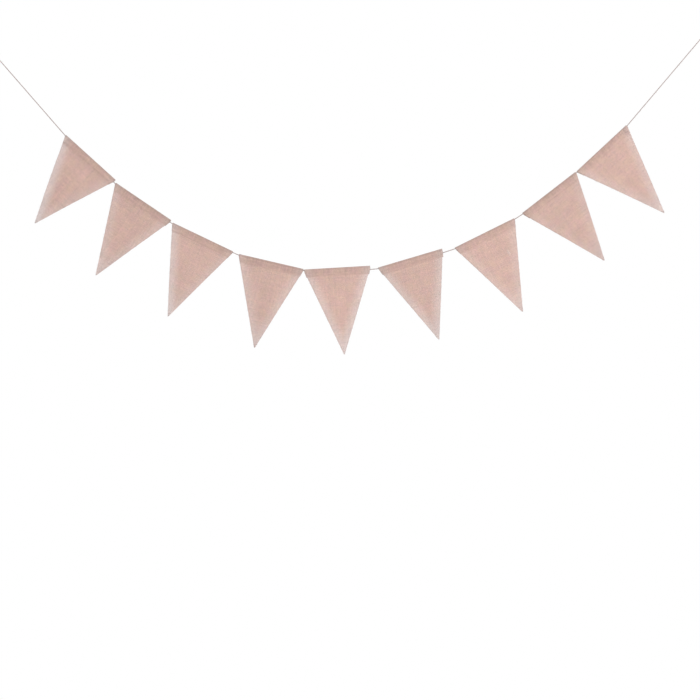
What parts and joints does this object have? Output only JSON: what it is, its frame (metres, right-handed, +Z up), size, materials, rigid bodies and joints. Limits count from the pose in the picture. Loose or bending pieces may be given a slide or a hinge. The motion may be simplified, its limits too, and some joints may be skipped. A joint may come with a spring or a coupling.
{
  "type": "fabric bunting",
  "caption": "String of triangular hessian pennants, each folded and sewn over a thin twine that hangs in a shallow curve from a tied loop at either end.",
  "frame": {"origin": "where the left loop bears on its hook", "axes": "+X to the right along the string, +Z up, -Y towards the viewer, so the pennants hang in the XZ plane"},
  "size_m": [1.5387, 0.0099, 0.7047],
  "materials": {
    "hessian": "matt plain-weave hessian in a dusty rose",
    "twine": "matt twisted twine in a pale greyish beige"
  },
  "bodies": {
    "root": {"pennant_1": "hessian", "pennant_2": "hessian", "pennant_3": "hessian", "pennant_4": "hessian", "pennant_5": "hessian", "pennant_6": "hessian", "pennant_7": "hessian", "pennant_8": "hessian", "pennant_9": "hessian", "cord": "twine", "loop_left": "twine", "loop_right": "twine"}
  },
  "joints": []
}
